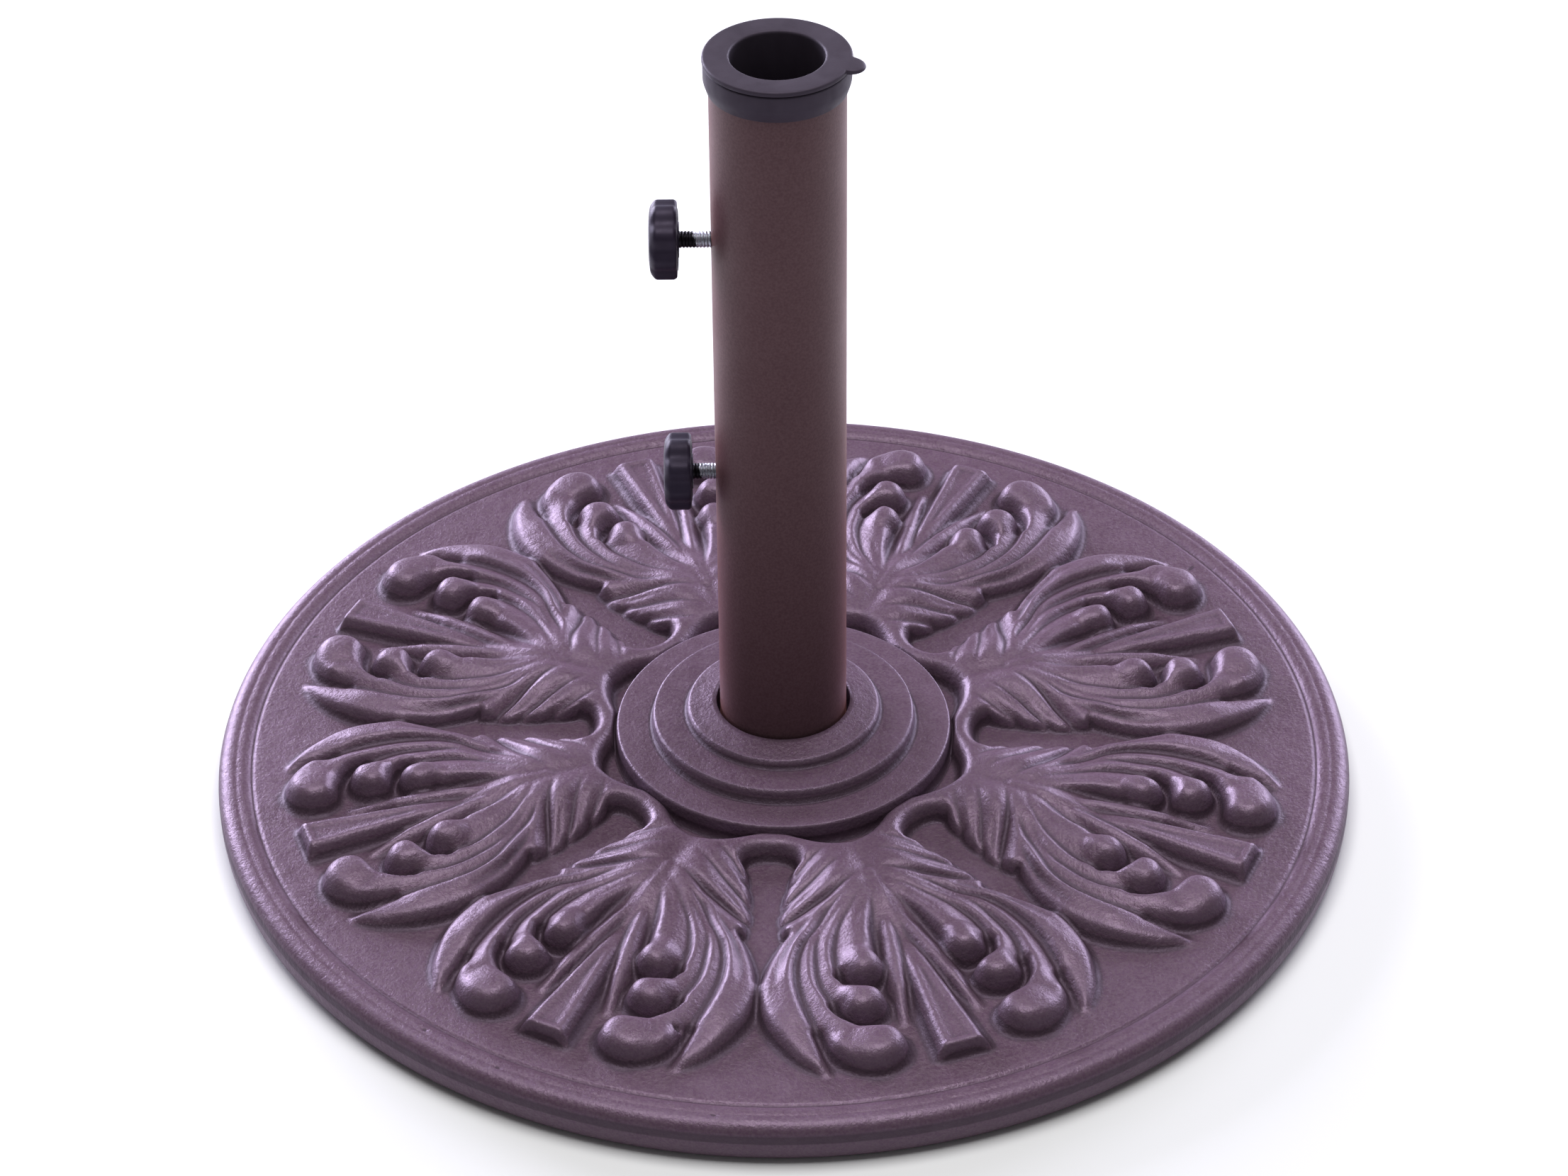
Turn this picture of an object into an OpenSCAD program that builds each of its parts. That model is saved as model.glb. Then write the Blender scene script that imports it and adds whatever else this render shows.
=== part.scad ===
// Parasol base: a cast round plate with leaf ornament, a steel stem bolted to it,
// a plastic collar with a lift-out reducer ring, and two clamp screws with star knobs.
// Millimetres. Origin at the centre of the underside, +Z up, knobs towards -X.

/* [Plate] */
// Diameter of the cast plate
base_d = 457.2; // [420:0.2:520]
// Thickness of the plate at its flat field
plate_t = 15.5; // [12:0.5:20]
// Height of the leaf ornament above the field
relief_h = 8; // [5:0.5:9]
// Direction of the first bar of the ornament
bar_phase = 19.6; // [0:0.1:45]
// How far the rubber pads stand below the plate
pad_proud = 1; // [0.5:0.5:2]

/* [Stem] */
// Outside diameter of the steel stem
stem_d = 50.8; // [48:0.1:52]
// Wall of the stem
stem_wall = 1.5; // [1.2:0.1:2]
// Height of the whole object
total_h = 334.5; // [300:0.5:400]
// Diameter of the reducer ring's hole
pole_d = 35; // [25:0.5:36]
// Diameter of the collar's hole, for a pole without the reducer
wide_pole_d = 38.6; // [38:0.1:39]

/* [Clamps] */
// Height of the upper knob
upper_z = 256; // [220:1:290]
// Height of the lower knob
lower_z = 150.2; // [100:0.2:180]
// Gap between the upper knob and the stem
upper_gap = 11.9; // [11.5:0.1:13]
// Gap between the lower knob and the stem
lower_gap = 8.7; // [7.7:0.1:10]
// Diameter of a knob over its lobes
knob_d = 30; // [24:0.5:36]
// Thickness of a knob
knob_t = 11.2; // [10:0.1:14]

/* [Hidden] */
$fn = 96;

// Plate
base_r = base_d / 2;
field_z = pad_proud + plate_t;
groove_r = base_r - 13.6;
bead_h = 1;
rim_round = 5;
hub_r = 68.5;
hub_z = field_z + 10;
step_r = 55;
step_z = field_z + 16;
inner_step_r = 40.5;
inner_step_z = field_z + 19.5;
mouth_z = field_z + 21.5;
mouth_r = 26.9;
socket_floor_z = 19;
pocket_r = 19;
pocket_z = 12.2;
bolt_hole_r = 4.6;

// Foot pads
pad_r = 11;
pad_t = 2.5;
pad_ring_r = 200;

// Stem and its foot
stem_r = stem_d / 2;
stem_inner_r = stem_r - stem_wall;
collar_web = 2;
flange_t = 2;
seat_gap = 0.2;
collar_top_z = total_h - flange_t - seat_gap;
stem_top_z = collar_top_z - collar_web;
foot_disc_t = 4;
screw_hole_r = 3.5;
foot_nut_af = 13;
foot_nut_h = 6.5;

// Bolt through the plate, M8
bolt_r = 3.98;
bolt_head_af = 13;
bolt_head_h = 5.3;
bolt_len = 25;
washer_r = 14;
washer_t = 2;
lock_washer_r = 7.4;
lock_washer_t = 2;
bolt_seat_z = pocket_z - washer_t - lock_washer_t;

// Collar and reducer ring
collar_r = 27.3;
collar_skirt = 11.1;
collar_taper = 4;
collar_lip = 0.6;
collar_inside_len = 22;
collar_bore_r = wide_pole_d / 2;
collar_wall = 2;
flange_r = 27.6;
sleeve_len = 24;
sleeve_gap = 0.1;
pole_r = pole_d / 2;
tab_angle = -14;
tab_w = 10;
tab_out = 5.3;

// Clamp screws, 1/4 inch with 20 threads to the inch
thread_r = 3.175;
thread_pitch = 1.27;
thread_depth = 0.65;
screw_len = 25.2;
head_r = 5.5;
head_h = 4.2;
clamp_nut_af = 11.1;
clamp_nut_h = 4.5;
running_gap = 0.075;

// Knobs
knob_r = knob_d / 2;
lobes = 8;
web_t = 5.8;
boss_r = 6.9;
rim_wall = 2.2;
back_recess = 4.6;
knob_rib_t = 1.4;
cap_t = 1.1;

// Ornament, one half of one bar's motif: x sideways from the bar, y outwards from the stem
half_sector = 22.5;
body_h = 0.6 * relief_h;
half_leaf = [
    [0, 76], [10, 72.3], [19, 67.5], [27.2, 65.6], [30, 71.5], [25, 75], [23, 81], [29, 91],
    [33, 101], [37, 110], [48, 122], [57, 139], [62.5, 152], [63, 168], [60, 181], [51, 196],
    [50, 186], [44, 195], [36, 201], [27, 202], [20, 199], [17, 190], [20, 183], [17, 176],
    [18, 168], [21, 160], [14, 158], [12, 150], [13.5, 140], [9, 124], [0, 108]];
blade_line = [[10, 100], [20, 106.5], [33, 115], [45, 127], [54, 141], [58, 157], [58, 172], [54, 188]];
large_curl_line = [[10, 104], [18, 110], [29, 118], [38, 129], [45, 143], [47.5, 158], [46, 174], [38, 190]];
mid_curl_line = [[9, 107], [15, 112], [23, 119], [31, 129], [36, 141], [38, 153], [34, 164]];
small_curl_line = [[8, 108], [13, 115], [19, 125], [22, 136], [21, 147]];
arch_line = [[9, 98], [8.5, 88], [9.5, 79], [15, 73], [26, 70]];
curls = [[26.5, 192, 8.6], [26.5, 169, 8], [18.5, 151, 7]];
bar_tip = 134;
bar_end = 200;
bar_half_w = 9;
bar_panel_depth = 0.8;

function unit(v) = v / norm(v);
function side_of(line, i) =
    let (a = line[max(i - 1, 0)], b = line[min(i + 1, len(line) - 1)], d = unit(b - a)) [d[1], -d[0]];
function ribbon(line, w) = concat(
    [for (i = [0:len(line) - 1]) line[i] + side_of(line, i) * w],
    [for (i = [len(line) - 1:-1:0]) line[i] - side_of(line, i) * w]);

// A copy of the children for each half of each of the eight motifs
module each_half_motif() {
    for (k = [0:7]) {
        rotate(bar_phase + 45 * k) children();
        rotate(bar_phase + 45 * k) mirror([1, 0, 0]) children();
    }
}

module ornament() {
    sink = 1;
    translate([0, 0, field_z - sink]) {
        linear_extrude(body_h + sink) each_half_motif() polygon(half_leaf);
        for (line = [blade_line, large_curl_line, mid_curl_line, small_curl_line, arch_line])
            linear_extrude(relief_h + sink) each_half_motif() polygon(ribbon(line, 2.6));
    }
    for (curl = curls)
        translate([0, 0, field_z]) each_half_motif()
            translate([curl[0], curl[1], 0]) cylinder(r = curl[2], h = relief_h, $fn = 32);
    translate([0, 0, field_z - sink]) for (k = [0:7]) rotate(bar_phase + 45 * k) difference() {
        linear_extrude(relief_h - 1 + sink)
            polygon([[0, bar_tip], [bar_half_w, bar_end], [-bar_half_w, bar_end]]);
        translate([0, 0, relief_h - 1 + sink - bar_panel_depth]) linear_extrude(relief_h)
            polygon([[0, bar_tip + 22], [bar_half_w - 4, bar_end - 3], [-bar_half_w + 4, bar_end - 3]]);
    }
}

module plate_blank() {
    rotate_extrude($fn = 180) polygon(concat(
        [[0, pad_proud], [base_r - 3, pad_proud], [base_r - 0.8, pad_proud + 3], [base_r, pad_proud + 9]],
        [for (a = [0:15:90]) [base_r - rim_round + rim_round * cos(a),
                              field_z + bead_h - rim_round + rim_round * sin(a)]],
        [[groove_r + 4, field_z + bead_h], [groove_r + 1, field_z], [groove_r, field_z - 0.8],
         [groove_r - 1, field_z], [hub_r, field_z], [hub_r, hub_z], [step_r, hub_z],
         [step_r - 2.7, step_z], [inner_step_r, step_z], [inner_step_r - 1.9, inner_step_z],
         [mouth_r, mouth_z], [0, mouth_z]]));
}

module base_casting() {
    socket_gap = 0.1;
    flare_z = mouth_z - 8;
    color([0.40, 0.31, 0.38]) difference() {
        union() {
            plate_blank();
            ornament();
        }
        translate([0, 0, socket_floor_z]) cylinder(r = stem_r + socket_gap, h = total_h);
        translate([0, 0, flare_z]) cylinder(r = mouth_r, h = total_h);
        translate([0, 0, -1]) cylinder(r = pocket_r, h = pocket_z + 1);
        cylinder(r = bolt_hole_r, h = total_h, $fn = 48);
        for (i = [0:3]) rotate(45 + 90 * i) translate([pad_ring_r, 0, 0])
            cylinder(r = pad_r + 0.2, h = pad_t, $fn = 48);
    }
}

module foot_pad(i) {
    color([0.09, 0.09, 0.09]) rotate(45 + 90 * (i - 1)) translate([pad_ring_r, 0, 0]) {
        cylinder(r1 = pad_r - 0.6, r2 = pad_r, h = 0.6, $fn = 48);
        translate([0, 0, 0.6]) cylinder(r = pad_r, h = pad_t - 0.6, $fn = 48);
    }
}

// A hexagon across its flats, with flats facing +X and -X
module hexagon(af) {
    rotate(30) circle(r = af / 2 / cos(30), $fn = 6);
}

module base_bolt() {
    color([0.70, 0.70, 0.72]) {
        translate([0, 0, bolt_seat_z - bolt_head_h]) linear_extrude(bolt_head_h) hexagon(bolt_head_af);
        translate([0, 0, bolt_seat_z]) cylinder(r = bolt_r, h = bolt_len - 0.8, $fn = 48);
        translate([0, 0, bolt_seat_z + bolt_len - 0.8])
            cylinder(r1 = bolt_r, r2 = bolt_r - 0.8, h = 0.8, $fn = 48);
    }
}

module flat_ring(outer_r, inner_r, h) {
    difference() {
        cylinder(r = outer_r, h = h, $fn = 64);
        translate([0, 0, -1]) cylinder(r = inner_r, h = h + 2, $fn = 48);
    }
}

module base_washer() {
    color([0.70, 0.70, 0.72]) translate([0, 0, pocket_z - washer_t]) flat_ring(washer_r, 4.2, washer_t);
}

module base_lock_washer() {
    split_w = 0.9;
    color([0.62, 0.62, 0.64]) difference() {
        translate([0, 0, bolt_seat_z]) flat_ring(lock_washer_r, 4.1, lock_washer_t);
        translate([0, -split_w / 2, bolt_seat_z - 1]) cube([lock_washer_r + 1, split_w, lock_washer_t + 2]);
    }
}

module stem_tube() {
    color([0.27, 0.19, 0.21]) difference() {
        translate([0, 0, socket_floor_z]) cylinder(r = stem_r, h = stem_top_z - socket_floor_z);
        translate([0, 0, socket_floor_z - 1]) cylinder(r = stem_inner_r, h = total_h);
        for (z = [upper_z, lower_z]) translate([0, 0, z]) rotate([0, -90, 0])
            cylinder(r = screw_hole_r, h = stem_r + 5, $fn = 48);
    }
}

module stem_foot_disc() {
    color([0.30, 0.26, 0.26]) translate([0, 0, socket_floor_z])
        flat_ring(stem_inner_r - 0.02, bolt_r + 0.3, foot_disc_t);
}

module stem_foot_nut() {
    color([0.62, 0.62, 0.64]) translate([0, 0, socket_floor_z + foot_disc_t]) difference() {
        linear_extrude(foot_nut_h) hexagon(foot_nut_af);
        translate([0, 0, -1]) cylinder(r = bolt_r + 0.04, h = foot_nut_h + 2, $fn = 48);
    }
}

module pole_collar() {
    hug = 0.05;
    bottom_z = collar_top_z - collar_skirt;
    inside_z = collar_top_z - collar_inside_len;
    plug_r = stem_inner_r - hug;
    color([0.13, 0.12, 0.13]) rotate_extrude($fn = 96) polygon([
        [collar_bore_r, inside_z], [collar_bore_r, collar_top_z - 0.5], [collar_bore_r + 0.5, collar_top_z],
        [collar_r - 0.5, collar_top_z], [collar_r, collar_top_z - 0.5], [collar_r, bottom_z + collar_taper],
        [stem_r + collar_lip, bottom_z], [stem_r + hug, bottom_z], [stem_r + hug, stem_top_z],
        [plug_r, stem_top_z], [plug_r, inside_z + 1], [plug_r - 1, inside_z],
        [plug_r - collar_wall, inside_z], [plug_r - collar_wall, stem_top_z - 4],
        [collar_bore_r + collar_wall - 0.6, stem_top_z - 4], [collar_bore_r + collar_wall - 0.6, inside_z]]);
}

module reducer_ring() {
    edge = 0.7;
    lead_in = 1;
    bottom_z = total_h - flange_t - sleeve_len;
    sleeve_r = collar_bore_r - sleeve_gap;
    tab_len = flange_r + tab_out - tab_w / 2;
    color([0.14, 0.13, 0.14]) difference() {
        union() {
            rotate_extrude($fn = 96) polygon([
                [pole_r - 3, bottom_z], [sleeve_r - 0.6, bottom_z], [sleeve_r, bottom_z + 1],
                [sleeve_r, total_h - flange_t], [flange_r - 0.4, total_h - flange_t],
                [flange_r, total_h - flange_t + 0.4], [flange_r, total_h - edge],
                [flange_r - edge, total_h], [pole_r - 3, total_h]]);
            rotate(tab_angle) translate([0, 0, total_h - flange_t]) linear_extrude(flange_t - 0.3) {
                translate([sleeve_r, -tab_w / 2]) square([tab_len - sleeve_r, tab_w]);
                translate([tab_len, 0]) circle(r = tab_w / 2, $fn = 32);
            }
        }
        translate([0, 0, bottom_z - 1]) cylinder(r = pole_r, h = sleeve_len + flange_t + 2, $fn = 96);
        translate([0, 0, total_h - lead_in]) cylinder(r1 = pole_r, r2 = pole_r + lead_in, h = lead_in);
    }
}

// Place children made along +X at a clamp: x = 0 is the back of the knob
module at_clamp(z, gap) {
    translate([-stem_r - gap, 0, z]) children();
}

module along_x() {
    rotate([0, 90, 0]) children();
}

// A hexagon nut inside the stem, its outer face shaped to the stem's wall
module weld_nut(z) {
    nut_back = stem_inner_r - clamp_nut_h;
    color([0.62, 0.62, 0.64]) difference() {
        intersection() {
            translate([-stem_r, 0, z]) along_x() linear_extrude(stem_r - nut_back) hexagon(clamp_nut_af);
            translate([0, 0, z - clamp_nut_af]) cylinder(r = stem_inner_r - 0.02, h = 2 * clamp_nut_af);
        }
        translate([-stem_r - 1, 0, z]) along_x() cylinder(r = thread_r + running_gap, h = stem_r, $fn = 48);
    }
}

// Head, a plain neck inside the knob's web, and a thread of ring grooves as far as the tip
module clamp_screw(z, gap) {
    tip_x = screw_len - web_t;
    first_x = 0.5;
    turns = floor((tip_x - 1.2 - first_x) / thread_pitch);
    root_r = thread_r - thread_depth;
    thread = [for (i = [0:turns - 1]) each [
        [thread_r, first_x + i * thread_pitch],
        [root_r, first_x + (i + 0.5) * thread_pitch]]];
    color([0.75, 0.75, 0.78]) at_clamp(z, gap) along_x() rotate_extrude($fn = 48) polygon(concat(
        [[0, -web_t - head_h], [head_r - 0.4, -web_t - head_h], [head_r, -web_t - head_h + 0.4],
         [head_r, -web_t - running_gap], [thread_r, -web_t - running_gap]],
        thread,
        [[thread_r, first_x + turns * thread_pitch], [root_r, tip_x], [0, tip_x]]));
}

// A star knob, hollow behind around its boss, with a pocket for the screw's head in front
module knob(z, gap) {
    front_edge = 2.4;
    back_edge = 0.6;
    scallop_r = 4.2;
    scallop_in = 1.5;
    recess_r = knob_r - scallop_in - rim_wall;
    color([0.10, 0.10, 0.11]) at_clamp(z, gap) rotate([0, -90, 0]) difference() {
        rotate_extrude($fn = 96) polygon([
            [0, 0], [knob_r - back_edge, 0], [knob_r, back_edge], [knob_r, knob_t - front_edge],
            [knob_r - front_edge, knob_t - 0.5], [knob_r - front_edge - 4, knob_t], [0, knob_t]]);
        for (k = [0:lobes - 1]) rotate(180 / lobes + 360 / lobes * k)
            translate([knob_r - scallop_in + scallop_r, 0, -1]) cylinder(r = scallop_r, h = knob_t + 2, $fn = 48);
        difference() {
            translate([0, 0, -1]) cylinder(r = recess_r, h = back_recess + 1);
            translate([0, 0, -2]) cylinder(r = boss_r, h = back_recess + 4);
            for (k = [0:lobes / 2 - 1]) rotate(360 / lobes * k)
                translate([-knob_r, -knob_rib_t / 2, -2]) cube([knob_d, knob_rib_t, back_recess + 4]);
        }
        translate([0, 0, -1]) cylinder(r = thread_r + running_gap, h = knob_t + 2, $fn = 48);
        translate([0, 0, web_t]) cylinder(r = head_r + running_gap, h = knob_t, $fn = 48);
    }
}

module knob_cap(z, gap) {
    color([0.12, 0.12, 0.13]) at_clamp(z, gap) rotate([0, -90, 0]) translate([0, 0, knob_t - cap_t])
        rotate_extrude($fn = 64) polygon([
            [0, 0], [head_r, 0], [head_r, cap_t - 0.4], [head_r - 0.4, cap_t], [0, cap_t]]);
}

base_casting();
foot_pad(1);  // foot_pad_1
foot_pad(2);  // foot_pad_2
foot_pad(3);  // foot_pad_3
foot_pad(4);  // foot_pad_4
base_bolt();
base_washer();
base_lock_washer();
stem_tube();
stem_foot_disc();
stem_foot_nut();
pole_collar();
reducer_ring();
weld_nut(upper_z);  // upper_weld_nut
weld_nut(lower_z);  // lower_weld_nut
clamp_screw(upper_z, upper_gap);  // upper_clamp_screw
clamp_screw(lower_z, lower_gap);  // lower_clamp_screw
knob(upper_z, upper_gap);  // upper_knob
knob(lower_z, lower_gap);  // lower_knob
knob_cap(upper_z, upper_gap);  // upper_knob_cap
knob_cap(lower_z, lower_gap);  // lower_knob_cap
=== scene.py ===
"""Looks of the parasol base.

A sculpted leaf casting, a painted stem, a plastic collar with its reducer, clamp screws and star knobs.
The frame is in metres; shapes are worked out in millimetres and scaled at the end.
"""
import math

import bmesh
import bpy
import numpy as np
from mathutils import Matrix, Vector


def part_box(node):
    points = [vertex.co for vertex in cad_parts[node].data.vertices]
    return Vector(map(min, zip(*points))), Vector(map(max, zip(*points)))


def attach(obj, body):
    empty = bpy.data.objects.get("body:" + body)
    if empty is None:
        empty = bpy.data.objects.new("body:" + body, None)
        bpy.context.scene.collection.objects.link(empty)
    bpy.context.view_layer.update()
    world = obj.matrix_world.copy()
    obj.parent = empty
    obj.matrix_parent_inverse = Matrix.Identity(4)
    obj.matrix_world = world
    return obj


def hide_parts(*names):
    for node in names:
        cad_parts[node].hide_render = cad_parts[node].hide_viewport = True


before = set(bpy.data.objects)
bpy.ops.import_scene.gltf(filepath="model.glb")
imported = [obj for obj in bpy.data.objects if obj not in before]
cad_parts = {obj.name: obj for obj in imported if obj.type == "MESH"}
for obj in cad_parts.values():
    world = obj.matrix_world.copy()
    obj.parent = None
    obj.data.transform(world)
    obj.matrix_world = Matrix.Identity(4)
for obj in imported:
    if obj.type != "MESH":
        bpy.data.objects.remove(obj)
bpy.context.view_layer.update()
MM = 0.001


def node_mm(name):
    """Lowest and highest corner of a CAD node, in millimetres."""
    low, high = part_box(name)
    return np.array(low) / MM, np.array(high) / MM


# ---------------------------------------------------------------- sizes taken from the frame, in mm
cast_low, cast_high = node_mm("base_casting")
tube_low, tube_high = node_mm("stem_tube")
collar_low, collar_high = node_mm("pole_collar")
ring_low, ring_high = node_mm("reducer_ring")
PLATE_R = cast_high[0]
BOTTOM = cast_low[2]
FIELD = BOTTOM + 15.5
RIM_ROUND = 5.5
STEM_R = tube_high[0]
HUB_R = 68.5
HUB_STEP_R = 53.6
HUB_CAP_R = 39.6
HUB_LIP_R = 38.3
GROOVE_R = PLATE_R - 13.6
MOUTH_R = 26.9
SOCKET_R = STEM_R + 0.1
SOCKET_FLOOR = tube_low[2]
RELIEF_END = 203.5

# direction of the first bar, and how far each bar stands from its even place, in degrees
BAR_PHASE = 109.6
BAR_TURNS = (-0.8, 0.7, -0.5, -1.7, -0.3, 0.9, 1.2, 0.7)
SECTORS = len(BAR_TURNS)
HALF_MOTIF = 180 / SECTORS


# ---------------------------------------------------------------- curves and profiles of the relief
def curve(points, steps=8):
    """A smooth line through the points (Catmull-Rom)."""
    p = np.array([points[0]] + list(points) + [points[-1]], float)
    p[0] = 2 * p[1] - p[2]
    p[-1] = 2 * p[-2] - p[-3]
    out = []
    for i in range(1, len(p) - 2):
        a, b, c, d = p[i - 1:i + 3]
        for t in np.arange(steps) / steps:
            out.append(0.5 * (2 * b + (c - a) * t + (2 * a - 5 * b + 4 * c - d) * t ** 2
                              + (3 * b - a - 3 * c + d) * t ** 3))
    out.append(p[-2])
    return np.array(out)


def along(values, t):
    """Value at t of a quantity given at even steps from 0 to 1."""
    return np.interp(t, np.linspace(0, 1, len(values)), values)


def nearest(u, v, line):
    """Signed distance to a line (positive on its right) and the place along it of the nearest point."""
    place = np.linspace(0, 1, len(line))
    best = np.full(u.shape, 1e9)
    side = np.zeros(u.shape)
    where = np.zeros(u.shape)
    for a, b, ta, tb in zip(line[:-1], line[1:], place[:-1], place[1:]):
        d = b - a
        s = np.clip(((u - a[0]) * d[0] + (v - a[1]) * d[1]) / max(d @ d, 1e-12), 0, 1)
        du = u - a[0] - s * d[0]
        dv = v - a[1] - s * d[1]
        dist = np.hypot(du, dv)
        closer = dist < best
        best = np.where(closer, dist, best)
        side = np.where(closer, np.sign(d[1] * du - d[0] * dv), side)
        where = np.where(closer, ta + s * (tb - ta), where)
    return best * side, where


def inside_distance(u, v, outline):
    """Distance to a closed outline, positive inside it."""
    best = np.full(u.shape, 1e9)
    inside = np.zeros(u.shape, bool)
    for a, b in zip(outline, np.roll(outline, -1, axis=0)):
        d = b - a
        s = np.clip(((u - a[0]) * d[0] + (v - a[1]) * d[1]) / max(d @ d, 1e-12), 0, 1)
        best = np.minimum(best, np.hypot(u - a[0] - s * d[0], v - a[1] - s * d[1]))
        crosses = (a[1] > v) != (b[1] > v)
        at = a[0] + (v - a[1]) * d[0] / (d[1] if d[1] else 1e-9)
        inside ^= crosses & (u < at)
    return np.where(inside, best, -best)


def smooth_step(x, low, high):
    """0 up to low, 1 from high on, and a smooth rise between them."""
    t = np.clip((x - low) / (high - low), 0, 1)
    return t * t * (3 - 2 * t)


def smax(a, b, k=0.7):
    """Larger of two heights, with a small fillet where they meet."""
    h = np.clip(0.5 + 0.5 * (a - b) / k, 0, 1)
    return b + (a - b) * h + k * h * (1 - h)


def groove(u, v, points, depths, inner, outer, power):
    """Depth of a groove that one lobe slopes down to over inner, and the next rises from over outer."""
    off, t = nearest(u, v, curve(points))
    spread = np.clip(0.4 + 1.4 * t, 0, 1)
    s = np.where(off < 0, -off / (inner * spread), off / outer)
    return along(depths, t) * np.clip(1 - s, 0, 1) ** power


def ridge(u, v, points, widths, heights, skew):
    """A rounded ridge along a curve; skew moves its crest sideways as a share of its half width."""
    off, t = nearest(u, v, curve(points))
    x = off / along(widths, t)
    x = np.where(x > skew, (x - skew) / (1 - skew), (x - skew) / (1 + skew))
    return along(heights, t) * np.clip(1 - np.abs(x) ** 2.0, 0, 1) ** 0.6


# ---------------------------------------------------------------- the leaf motif
# Half of one motif: u is sideways from the bar and v is out from the stem, both in mm.
# Each run of the edge is smooth, and the runs meet in corners.
LEAF_EDGE = [
    [(-6, 77), (0, 76.3), (6, 74.6), (11, 71.6), (15.5, 67.5), (22, 61)],
    [(36, 56), (44, 64)],
    [(40, 66.5), (34, 69.3), (29.5, 71.2), (25.6, 73.6), (22.8, 77), (22.4, 80.5)],
    [(22.4, 80.8), (26.2, 84.6), (29.4, 90)],
    [(28.8, 90.3), (32.6, 95), (35.6, 101.4)],
    [(35.0, 101.7), (37.8, 105.4), (39.6, 110)],
    [(38.8, 110.5), (40.4, 113.6), (41.2, 117)],
    [(39.8, 118.5), (46, 124.5), (52, 131.5), (58.6, 141)],
    [(60, 142.5), (61.5, 147), (63.2, 156), (63.4, 166), (61.4, 176), (57.5, 186), (50, 195.5)],
    [(48.8, 188), (48.5, 182), (48.1, 175)],
    [(47.1, 175), (46.4, 184), (44.4, 190), (40.5, 195.5), (35, 199), (29, 200), (23, 198.3), (19, 194),
     (17.6, 188.5), (18.8, 183.5), (22, 180.3), (27.5, 178.4), (32.5, 175.6), (36.6, 170.5), (38, 165)],
    [(37, 164.6), (35.2, 169.8), (31.8, 173.3), (27, 174.6), (21.6, 173.2), (18, 169.5), (17, 164.8),
     (18.2, 161), (21.2, 158.7), (25.2, 157), (28.6, 154), (30.4, 149.5)],
    [(29.3, 149), (27.4, 152.8), (24.4, 155.2), (20, 156), (15, 154.4), (12, 150.4), (11.4, 146),
     (12.2, 142)],
    [(12.2, 142), (11.2, 136), (9.2, 129), (6, 121.5), (2.8, 115.5), (0, 112.5), (-6, 108)],
]

# lines between the lobes, each with its depth along it
GROOVES = [
    ([(10, 105.5), (16, 109.3), (22, 113.4), (29, 120.8), (39, 131), (44.8, 143), (47.4, 156), (48, 168),
      (47.4, 178)],
     [0.6, 1.6, 2.4, 3.1, 3.8, 4.2, 4.2, 4.2, 4.2]),
    ([(8, 107), (14, 111.4), (20, 116), (26, 121.5), (32, 128.8), (36, 139), (38.7, 151), (37.7, 164)],
     [0.5, 1.4, 2.1, 2.7, 3.3, 3.9, 4.2, 4.4]),
    ([(5, 107), (9, 110), (13, 114), (20.5, 122.6), (25.8, 131.4), (29.2, 140), (29.9, 149)],
     [0.4, 1.2, 2.0, 2.9, 3.6, 4.2, 4.4]),
]
FINE_GROOVES = [
    ([(29, 115.5), (40, 124), (49, 135), (54, 148), (55, 160)], [0.6, 1.4, 1.2, 0.8, 0.2]),
    ([(4, 110), (9, 115.5), (15, 124.5), (19.5, 134)], [0.3, 1.5, 1.3, 0.1]),
    ([(11, 79.5), (19, 83.4), (28, 90)], [0.3, 2.0, 3.4]),
    ([(7, 87.5), (14, 91.2), (21, 94.8), (29, 98.4), (35.6, 102)], [0.4, 1.6, 2.6, 3.2, 3.6]),
    ([(6, 99.5), (13, 103), (20, 105.6), (29, 107.8), (39.4, 110.8)], [0.6, 2.2, 3.4, 4.0, 3.8]),
    ([(16, 97.5), (24, 100.6), (31, 103.6), (37, 107.4)], [0.1, 1.2, 2.1, 2.2]),
    ([(12, 86.5), (20, 91), (31.5, 96)], [0.1, 1.2, 2.0]),
]
# how wide a groove's two flanks are, and how hollow they run
GROOVE_FLANKS = (8.0, 2.4, 1.15)
FINE_FLANKS = (6.0, 3.2, 1.6)
# middle, radius and rise of each curl's end
CURLS = [(20.1, 147.4, 9.6, 2.4), (26.4, 165, 10.2, 2.4), (28, 189.5, 11.6, 2.2)]


def bar(u, v):
    """The tapered bar with its raised border and sunk panel."""
    tip, end = 122.0, 199.0
    run = np.clip((v - tip) / (end - tip), 0, 1)
    half = 0.4 + 6.8 * run
    top = 4.6 + 2.6 * smooth_step(v, tip, 160)
    side = np.clip((half + 3.4 - np.abs(u)) / 3.4, 0, 1)
    front = np.clip((end + 1.8 - v) / 1.8, 0, 1)
    root = smooth_step(v, tip - 8, tip + 8)
    h = top * (np.minimum(side, front) ** 0.75) * root
    border = 1.9
    panel = smooth_step(half - border - np.abs(u), 0, 0.9) * smooth_step(end - border - 0.2 - v, 0, 1.0)
    return h - 0.8 * panel * smooth_step(v, 148, 158)


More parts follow.
